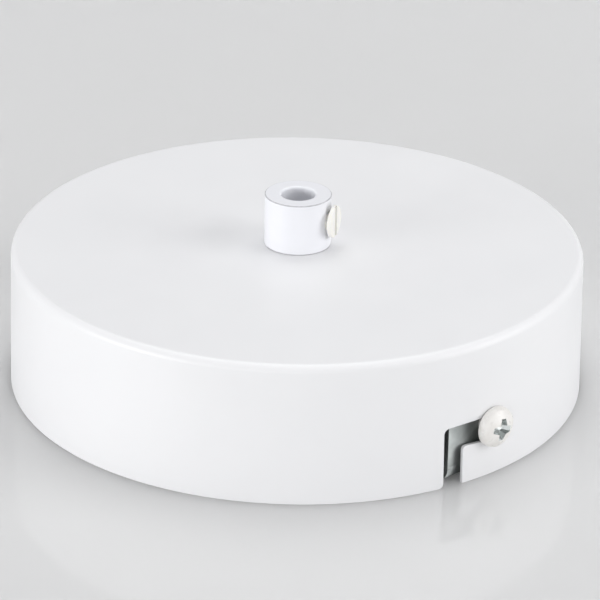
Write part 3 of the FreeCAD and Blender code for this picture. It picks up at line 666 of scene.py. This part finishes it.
def add_windows(data):
    """The two windows, half a turn apart."""
    points, faces = window_mesh()
    for half_turn in (0, math.pi):
        corners = []
        for turn, height in points:
            corners.append(data.verts.new(around_z(wall_radius(height), turn + half_turn, height)))
        for face in faces:
            data.faces.new([corners[i] for i in face])


def make_cup_sheet():
    """The cup's outside as one welded sheet, with every face outwards."""
    data = bmesh.new()
    add_plain_sheet(data)
    add_windows(data)
    bmesh.ops.remove_doubles(data, verts=data.verts, dist=WELD_DISTANCE)
    loose = [v for v in data.verts if not v.link_faces]
    bmesh.ops.delete(data, geom=loose, context="VERTS")
    data.normal_update()
    middle = Vector((0, 0, SLOT_HEIGHT))
    for face in data.faces:
        if face.normal.dot(face.calc_center_median() - middle) < 0:
            face.normal_flip()
    return data


def make_cup():
    cup = add_piece("cup", make_cup_sheet(), "canopy", "canopy_paint", powder_coat)
    thicken = cup.modifiers.new("sheet", "SOLIDIFY")
    thicken.thickness = CUP_WALL
    thicken.offset = -1
    thicken.use_even_offset = True
    soften(cup, COAT_EDGE)
    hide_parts("canopy_cup")


# The cord grip and its nylon screw

def on_clamp_axis(distance):
    """A place on the clamp screw's axis, with Z out of the grip and Y upwards."""
    upwards = Vector((0, 0, 1))
    axes = Matrix((upwards.cross(CLAMP_AXIS), upwards, CLAMP_AXIS)).transposed().to_4x4()
    place = CLAMP_AXIS * distance + upwards * (GRIP_TOP - CLAMP_DROP)
    return Matrix.Translation(place) @ axes


def grip_profile():
    """The grip and its stem, from the stem's end, with the stem's thread between its bevel and the crown."""
    stem = [
        (CORD_RADIUS, STEM_END),
        (STEM_RADIUS - STEM_BEVEL, STEM_END),
        (STEM_RADIUS, STEM_END + STEM_BEVEL),
    ]
    outline = round_corners(stem + [
        (STEM_RADIUS, CUP_TOP),
        (GRIP_RADIUS, CUP_TOP, GRIP_EDGE),
        (GRIP_RADIUS, GRIP_TOP, GRIP_EDGE),
        (CORD_RADIUS, GRIP_TOP, MOUTH_EDGE),
    ], steps=4)
    profile = [(p.x, p.y) for p in outline]
    bevel_top = len(stem)
    thread_low = profile[bevel_top - 1][1] + THREAD_INSET
    thread_high = CUP_TOP - STEM_PLAIN_LENGTH
    thread = thread_stretch(STEM_RADIUS, thread_low, thread_high, STEM_PITCH, STEM_THREAD_DEPTH)
    return profile[:bevel_top] + thread + profile[bevel_top:]


def paint_grip_edges(grip):
    """Gives the rounded edges at the grip's top and foot the grey material: painted shade at the foot, a grey line
    at the top.
    """
    grip.data.materials.append(grip_edge)
    # The grey faces at the foot are painted shade where the grip meets the crown
    edge = EDGE_LINE_SHARE * GRIP_EDGE
    for face in grip.data.polygons:
        x, y, z = face.center
        at_rim = math.hypot(x, y) > GRIP_RADIUS - edge
        if at_rim and (z > GRIP_TOP - edge or z < CUP_TOP + edge):
            face.material_index = 1


def make_grip():
    body = lathe(grip_profile(), segments=128)
    grip = add_piece("grip", body, "canopy", "grip_paint", grip_coat)
    spot = cylinder(CLAMP_SPOT_RADIUS, 0, CLAMP_SPOT_CUT, segments=64)
    carve(grip, spot, on_clamp_axis(CLAMP_SPOT_FACE))
    hole = cylinder(THREAD_HOLE, -CLAMP_HOLE_CUT, CUT_PAST, segments=48)
    carve(grip, hole, on_clamp_axis(CLAMP_SPOT_FACE))
    paint_grip_edges(grip)
    soften(grip, GRIP_SOFT_EDGE, segments=1, angle=35)
    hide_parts("cord_grip")


def slot_cutter(width, radius, top, depth):
    """A cutter for the slot across a screw's head of this radius and top."""
    half = width / 2
    return prism([(-half, -2 * radius), (half, -2 * radius), (half, 2 * radius), (-half, 2 * radius)],
                 2, top - depth, top + depth)


def make_clamp_screw():
    head = round_corners([
        (SCREW_RADIUS, 0),
        (CLAMP_HEAD_RADIUS, 0, CLAMP_SEAT_EDGE),
        (CLAMP_HEAD_RADIUS, CLAMP_HEAD_HEIGHT, CLAMP_HEAD_EDGE),
        (0, CLAMP_HEAD_HEIGHT),
    ], steps=4)
    profile = shank(SCREW_RADIUS, -CLAMP_LENGTH, SCREW_PITCH, SCREW_THREAD_DEPTH)
    profile += [(p.x, p.y) for p in head]
    screw = add_piece("clamp_screw", lathe(profile, segments=64), "cord_clamp", "clamp_nylon", nylon)
    carve(screw, slot_cutter(CLAMP_SLOT_WIDTH, CLAMP_HEAD_RADIUS, CLAMP_HEAD_HEIGHT, CLAMP_SLOT_DEPTH))
    move_mesh(screw, on_clamp_axis(CLAMP_SEAT))
    soften(screw, SCREW_SOFT_EDGE, angle=35)
    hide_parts("cord_clamp_screw")


# The two side screws

def cross_cutter():
    """A cross recess that narrows to its floor, with wings that widen towards its middle."""
    data = bmesh.new()
    rings = []
    above_span = 2 * CROSS_SPAN - CROSS_FLOOR_SPAN
    above_width = 2 * CROSS_WIDTH - CROSS_FLOOR_WIDTH
    for height, span, width in (
        (SIDE_HEAD_HEIGHT - CROSS_DEPTH, CROSS_FLOOR_SPAN, CROSS_FLOOR_WIDTH),
        (SIDE_HEAD_HEIGHT, CROSS_SPAN, CROSS_WIDTH),
        (SIDE_HEAD_HEIGHT + CROSS_DEPTH, above_span, above_width),
    ):
        reach = span / 2
        half = width / 2
        root = width * CROSS_FLARE
        ring = []
        for turn in range(4):
            spin = Matrix.Rotation(math.pi / 2 * turn, 2)
            for corner in ((reach, -half), (reach, half), (root, root)):
                place = spin @ Vector(corner)
                ring.append(data.verts.new((place.x, place.y, height)))
        rings.append(ring)
    data.faces.new(rings[0])
    data.faces.new(rings[-1])
    for lower, upper in zip(rings, rings[1:]):
        join_rings(data, lower, upper)
    bmesh.ops.recalc_face_normals(data, faces=data.faces)
    return data


def side_head_profile():
    """A side screw's head, from its underside over its edge to the top of its dome."""
    dome_centre = SIDE_HEAD_HEIGHT - SIDE_DOME_RADIUS
    rim_angle = math.asin(SIDE_HEAD_RADIUS / SIDE_DOME_RADIUS)
    edge_height = dome_centre + SIDE_DOME_RADIUS * math.cos(rim_angle)
    profile = [
        (SCREW_RADIUS, 0),
        (SIDE_HEAD_RADIUS - SIDE_HEAD_BEVEL, 0),
        (SIDE_HEAD_RADIUS, SIDE_HEAD_BEVEL),
        (SIDE_HEAD_RADIUS, edge_height - SIDE_EDGE_DROP),
    ]
    for i in range(SIDE_DOME_STEPS, -1, -1):
        angle = rim_angle * SIDE_DOME_SHARE * i / SIDE_DOME_STEPS
        height = dome_centre + SIDE_DOME_RADIUS * math.cos(angle)
        profile.append((SIDE_DOME_RADIUS * math.sin(angle), height))
    return profile


def make_side_screw(name, node, body, direction):
    """A domed screw with its bare cross recess, at the front (1) or at the rear (-1)."""
    profile = shank(SCREW_RADIUS, -SIDE_LENGTH, SCREW_PITCH, SCREW_THREAD_DEPTH, SIDE_PLAIN_LENGTH)
    profile += side_head_profile()
    screw = add_piece(name, lathe(profile), body, "screw_paint", screw_enamel, zinc)
    carve(screw, cross_cutter())
    outward = Matrix.Rotation(math.pi / 2, 4, "Y")
    half_turn = Matrix.Rotation(0 if direction > 0 else math.pi, 4, "Z")
    seat = Matrix.Translation((direction * SIDE_SEAT, 0, SLOT_HEIGHT))
    move_mesh(screw, seat @ half_turn @ outward @ Matrix.Rotation(CROSS_ANGLE, 4, "Z"))
    soften(screw, SIDE_SOFT_EDGE, angle=35)
    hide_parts(node)


# The strap and the nut

def collar():
    """The pulled ring round a thread hole. It has stock inside, which the hole's own cut takes away."""
    inner = THREAD_HOLE - COLLAR_STOCK
    outer = THREAD_HOLE + COLLAR_WALL
    return lathe([
        (inner, 0),
        (outer, 0),
        (outer, COLLAR_HEIGHT - COLLAR_BEVEL),
        (outer - COLLAR_BEVEL, COLLAR_HEIGHT),
        (inner, COLLAR_HEIGHT),
    ], segments=48)


def add_collars(strap):
    """Collars inside the two flanges and on the base."""
    for direction in (1, -1):
        turn = Matrix.Rotation(-direction * math.pi / 2, 4, "Y")
        place = Matrix.Translation((direction * (STRAP_INSIDE + JOIN_OVERLAP), 0, SLOT_HEIGHT))
        carve(strap, collar(), place @ turn, "UNION")
    on_base = Matrix.Translation((middle_x("earth_screw"), 0, STRAP_THICKNESS - JOIN_OVERLAP))
    carve(strap, collar(), on_base, "UNION")


def punch_strap(strap):
    """The thread hole through both flanges, and the holes and ceiling slots in the base."""
    through_flanges = circle_outline(0, SLOT_HEIGHT, THREAD_HOLE)
    carve(strap, prism(through_flanges, 0, -2 * STRAP_FACE, 2 * STRAP_FACE))
    through_base = (
        circle_outline(0, 0, CABLE_HOLE_RADIUS),
        circle_outline(middle_x("earth_screw"), 0, THREAD_HOLE),
        circle_outline(middle_x("terminal_fixing_screw"), 0, FIXING_HOLE_RADIUS),
        obround_outline(-CEILING_SLOT_SPACING / 2, CEILING_SLOT_LENGTH, CEILING_SLOT_RADIUS),
        obround_outline(CEILING_SLOT_SPACING / 2, CEILING_SLOT_LENGTH, CEILING_SLOT_RADIUS),
    )
    for outline in through_base:
        carve(strap, prism(outline, 2, -STRAP_TOP / 2, STRAP_TOP / 2))


def make_strap():
    outer_bend = BEND_RADIUS + STRAP_THICKNESS
    side = round_corners([
        (-STRAP_FACE, 0, outer_bend), (STRAP_FACE, 0, outer_bend),
        (STRAP_FACE, STRAP_TOP), (STRAP_INSIDE, STRAP_TOP),
        (STRAP_INSIDE, STRAP_THICKNESS, BEND_RADIUS), (-STRAP_INSIDE, STRAP_THICKNESS, BEND_RADIUS),
        (-STRAP_INSIDE, STRAP_TOP), (-STRAP_FACE, STRAP_TOP),
    ], steps=8)
    half = STRAP_HALF_WIDTH
    strap = add_piece("strap", prism(side, 1, -half, half), "bracket", "zinc_steel", rolled_zinc)
    front = round_corners([
        (-2 * half, -STRAP_TOP), (2 * half, -STRAP_TOP), (2 * half, 0), (half, 0),
        (half, STRAP_TOP, FLANGE_CORNER), (-half, STRAP_TOP, FLANGE_CORNER), (-half, 0), (-2 * half, 0),
    ], steps=8)
    carve(strap, prism(front, 0, -2 * STRAP_FACE, 2 * STRAP_FACE), operation="INTERSECT")
    add_collars(strap)
    punch_strap(strap)
    soften(strap, STAMPED_EDGE)
    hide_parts("mounting_bracket")


def make_nut():
    low = nut_low.z
    high = nut_high.z
    flat = NUT_FLATS / 2
    corner = flat / math.cos(NUT_HALF_CORNER)
    turns = [math.radians(30 + 60 * i) for i in range(6)]
    hexagon = [(corner * math.cos(t), corner * math.sin(t)) for t in turns]
    nut = add_piece("nut", prism(hexagon, 2, low, high), "canopy", "zinc_steel", zinc)
    fall = (corner - flat) * math.tan(NUT_HALF_CORNER)
    cone = [(0, low), (flat, low), (corner, low + fall), (corner, high), (0, high)]
    carve(nut, lathe(cone), operation="INTERSECT")
    carve(nut, cylinder(STEM_RADIUS + THREAD_GAP, low - CUT_PAST, high + CUT_PAST, segments=64))
    soften(nut, NUT_SOFT_EDGE, angle=20)
    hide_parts("lock_nut")


# The upright screws inside

def make_upright_screw(node, body, radius, head_height, slot_width, slot_depth, pitch):
    """A slotted cheese-head screw with its thread, in the place of a node's solid."""
    low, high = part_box(node)
    middle = (low + high) / 2
    seat = high.z - head_height
    head_radius = (high.x - low.x) / 2
    profile = shank(radius, low.z - seat, pitch, UPRIGHT_THREAD_SHARE * pitch)
    profile += [(radius, 0), (head_radius, 0), (head_radius, head_height), (0, head_height)]
    screw = add_piece(node + "_detail", lathe(profile, segments=48), body, "zinc_steel", zinc)
    carve(screw, slot_cutter(slot_width, head_radius, head_height, slot_depth))
    move_mesh(screw, Matrix.Translation((middle.x, middle.y, seat)))
    soften(screw, SCREW_SOFT_EDGE, angle=35)
    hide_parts(node)


def make_upright_screws():
    make_upright_screw("earth_screw", "earth_clamp", SCREW_RADIUS, EARTH_HEAD_HEIGHT,
                       CLAMP_SLOT_WIDTH, FIXING_SLOT_DEPTH, SCREW_PITCH)
    make_upright_screw("terminal_fixing_screw", "bracket", TERMINAL_SCREW_RADIUS, FIXING_HEAD_HEIGHT,
                       TERMINAL_SLOT_WIDTH, FIXING_SLOT_DEPTH, TERMINAL_PITCH)
    for name in nodes:
        if name.endswith(("_supply_screw", "_lamp_screw")):
            body = name.replace("_screw", "_terminal_clamp")
            make_upright_screw(name, body, TERMINAL_SCREW_RADIUS, TERMINAL_HEAD_HEIGHT,
                               TERMINAL_SLOT_WIDTH, TERMINAL_SLOT_DEPTH, TERMINAL_PITCH)


# Finishes of the CAD nodes that stay

def finish_node(name, material):
    mesh = nodes[name].data
    mesh.materials.clear()
    mesh.materials.append(material)


def finish_nodes():
    for name in nodes:
        if name.endswith("_terminal_tube") or name == "earth_clamp_plate":
            finish_node(name, brass)
        elif name == "terminal_housing":
            finish_node(name, housing_plastic)
        elif name == "toothed_washer":
            finish_node(name, zinc)


make_cup()
make_grip()
make_clamp_screw()
make_side_screw("front_screw", "side_screw_front", "front_side_screw", 1)
make_side_screw("rear_screw", "side_screw_rear", "rear_side_screw", -1)
make_strap()
make_nut()
make_upright_screws()
finish_nodes()


# The floor, the light and the camera

CAMERA_AZIMUTH = math.radians(49)
CAMERA_OUT = 0.62137
CAMERA_UP = 0.30345
CAMERA_AIM = Vector((0.00048, 0.00055, 0.01624))
CAMERA_ROLL = math.radians(1.0094)
CAMERA_LENS = 195.9
CAMERA_SENSOR = 36.0
FLOOR_REACH = 6.0
FLOOR_DROP = 0.02 * MM
FLOOR_ROUGHNESS = 0.08
FLOOR_SPECULAR = 0.35
FLOOR_SPREAD = 12.0 * MM
# The floor's colours near the cup and far off: painted shade near it, painted light further away
FLOOR_SHADED_TONE = 0.69
FLOOR_TONE_REACH = 0.09
FLOOR_LIT_TONE = 0.71
FLOOR_FAR_REACH = 0.26
FLOOR_GLOW = 0.02
WORLD_COLOUR = (0.97, 0.98, 1.0)
WORLD_STRENGTH = 0.395
LIGHT_AIM = Vector((0, 0, 0.02))

# Each light's name, degrees to the right of the camera, distance, height, size and power

SOFTBOXES = (
    ("right_box", 80, 1.2, 0.6, (0.8, 0.8), 6.0),
    ("low_left_box", -60, 1.3, 0.2, (0.9, 0.35), 9.1),
    ("low_front_box", -10, 1.5, 0.2, (1.0, 0.35), 3.15),
    ("low_right_box", 70, 1.3, 0.2, (0.9, 0.35), 3.6),
    ("back_box", 180, 0.45, 0.9, (0.9, 0.6), 3.05),
    ("top_box", 180, 0.05, 1.1, (0.9, 0.9), 2.25),
)


def make_floor_acrylic():
    """White acrylic. Light spreads sideways in it, so it darkens softly beside the cup. Its colour is painted
    darker near the cup and lighter far off, as painted shade and painted light. It glows faintly, a glow of
    painted light.
    """
    material = shader("floor_acrylic", (1, 1, 1), FLOOR_ROUGHNESS, specular=FLOOR_SPECULAR)
    surface = material.node_tree.nodes["Principled BSDF"]
    surface.subsurface_method = "BURLEY"
    surface.inputs["Subsurface Weight"].default_value = 1.0
    surface.inputs["Subsurface Scale"].default_value = FLOOR_SPREAD
    surface.inputs["Subsurface Radius"].default_value = (1, 1, 1)
    surface.inputs["Emission Color"].default_value = (1, 1, 1, 1)
    surface.inputs["Emission Strength"].default_value = FLOOR_GLOW
    tree = material.node_tree
    place = tree.nodes.new("ShaderNodeTexCoord")
    distance = tree.nodes.new("ShaderNodeVectorMath")
    distance.operation = "LENGTH"
    # Painted shade and light: the floor's colour runs from the darker tone near the cup to the lighter tone far
    # off
    painted_floor_shade = tree.nodes.new("ShaderNodeMapRange")
    painted_floor_shade.inputs["From Min"].default_value = FLOOR_TONE_REACH
    painted_floor_shade.inputs["From Max"].default_value = FLOOR_FAR_REACH
    painted_floor_shade.inputs["To Min"].default_value = FLOOR_SHADED_TONE
    painted_floor_shade.inputs["To Max"].default_value = FLOOR_LIT_TONE
    tree.links.new(place.outputs["Object"], distance.inputs[0])
    tree.links.new(distance.outputs["Value"], painted_floor_shade.inputs["Value"])
    tree.links.new(painted_floor_shade.outputs["Result"], surface.inputs["Base Color"])
    return material


def make_floor():
    mesh = bpy.data.meshes.new("floor")
    r = FLOOR_REACH
    mesh.from_pydata([(-r, -r, 0), (r, -r, 0), (r, r, 0), (-r, r, 0)], [], [(0, 1, 2, 3)])
    mesh.materials.append(make_floor_acrylic())
    floor = bpy.data.objects.new("floor", mesh)
    bpy.context.scene.collection.objects.link(floor)
    floor.location.z = -FLOOR_DROP


def around_camera(azimuth, distance, height):
    """A place by its angle to the right of the camera, seen from the object."""
    turn = CAMERA_AZIMUTH + math.radians(azimuth)
    return Vector((math.sin(turn) * distance, -math.cos(turn) * distance, height))


def make_softbox(name, azimuth, distance, height, size, power):
    """A white light panel that faces the object and that the camera doesn't see."""
    light = bpy.data.lights.new(name, "AREA")
    light.shape = "RECTANGLE"
    light.size, light.size_y = size
    light.energy = power
    lamp = bpy.data.objects.new(name, light)
    lamp.visible_camera = False
    bpy.context.scene.collection.objects.link(lamp)
    lamp.location = around_camera(azimuth, distance, height)
    lamp.rotation_euler = (LIGHT_AIM - lamp.location).to_track_quat("-Z", "Y").to_euler()


def make_world():
    world = bpy.data.worlds.new("studio")
    bpy.context.scene.world = world
    world.use_nodes = True
    background = world.node_tree.nodes["Background"]
    background.inputs["Color"].default_value = (*WORLD_COLOUR, 1)
    background.inputs["Strength"].default_value = WORLD_STRENGTH


def make_camera():
    data = bpy.data.cameras.new("camera")
    data.lens = CAMERA_LENS
    data.sensor_width = CAMERA_SENSOR
    camera = bpy.data.objects.new("camera", data)
    bpy.context.scene.collection.objects.link(camera)
    camera.location = around_camera(0, CAMERA_OUT, CAMERA_UP)
    aim = (CAMERA_AIM - camera.location).to_track_quat("-Z", "Y")
    camera.rotation_euler = (aim @ Quaternion((0, 0, 1), CAMERA_ROLL)).to_euler()
    bpy.context.scene.camera = camera


make_floor()
make_world()
for softbox in SOFTBOXES:
    make_softbox(*softbox)
make_camera()
bpy.context.scene.view_settings.view_transform = "Standard"

bpy.context.view_layer.update()
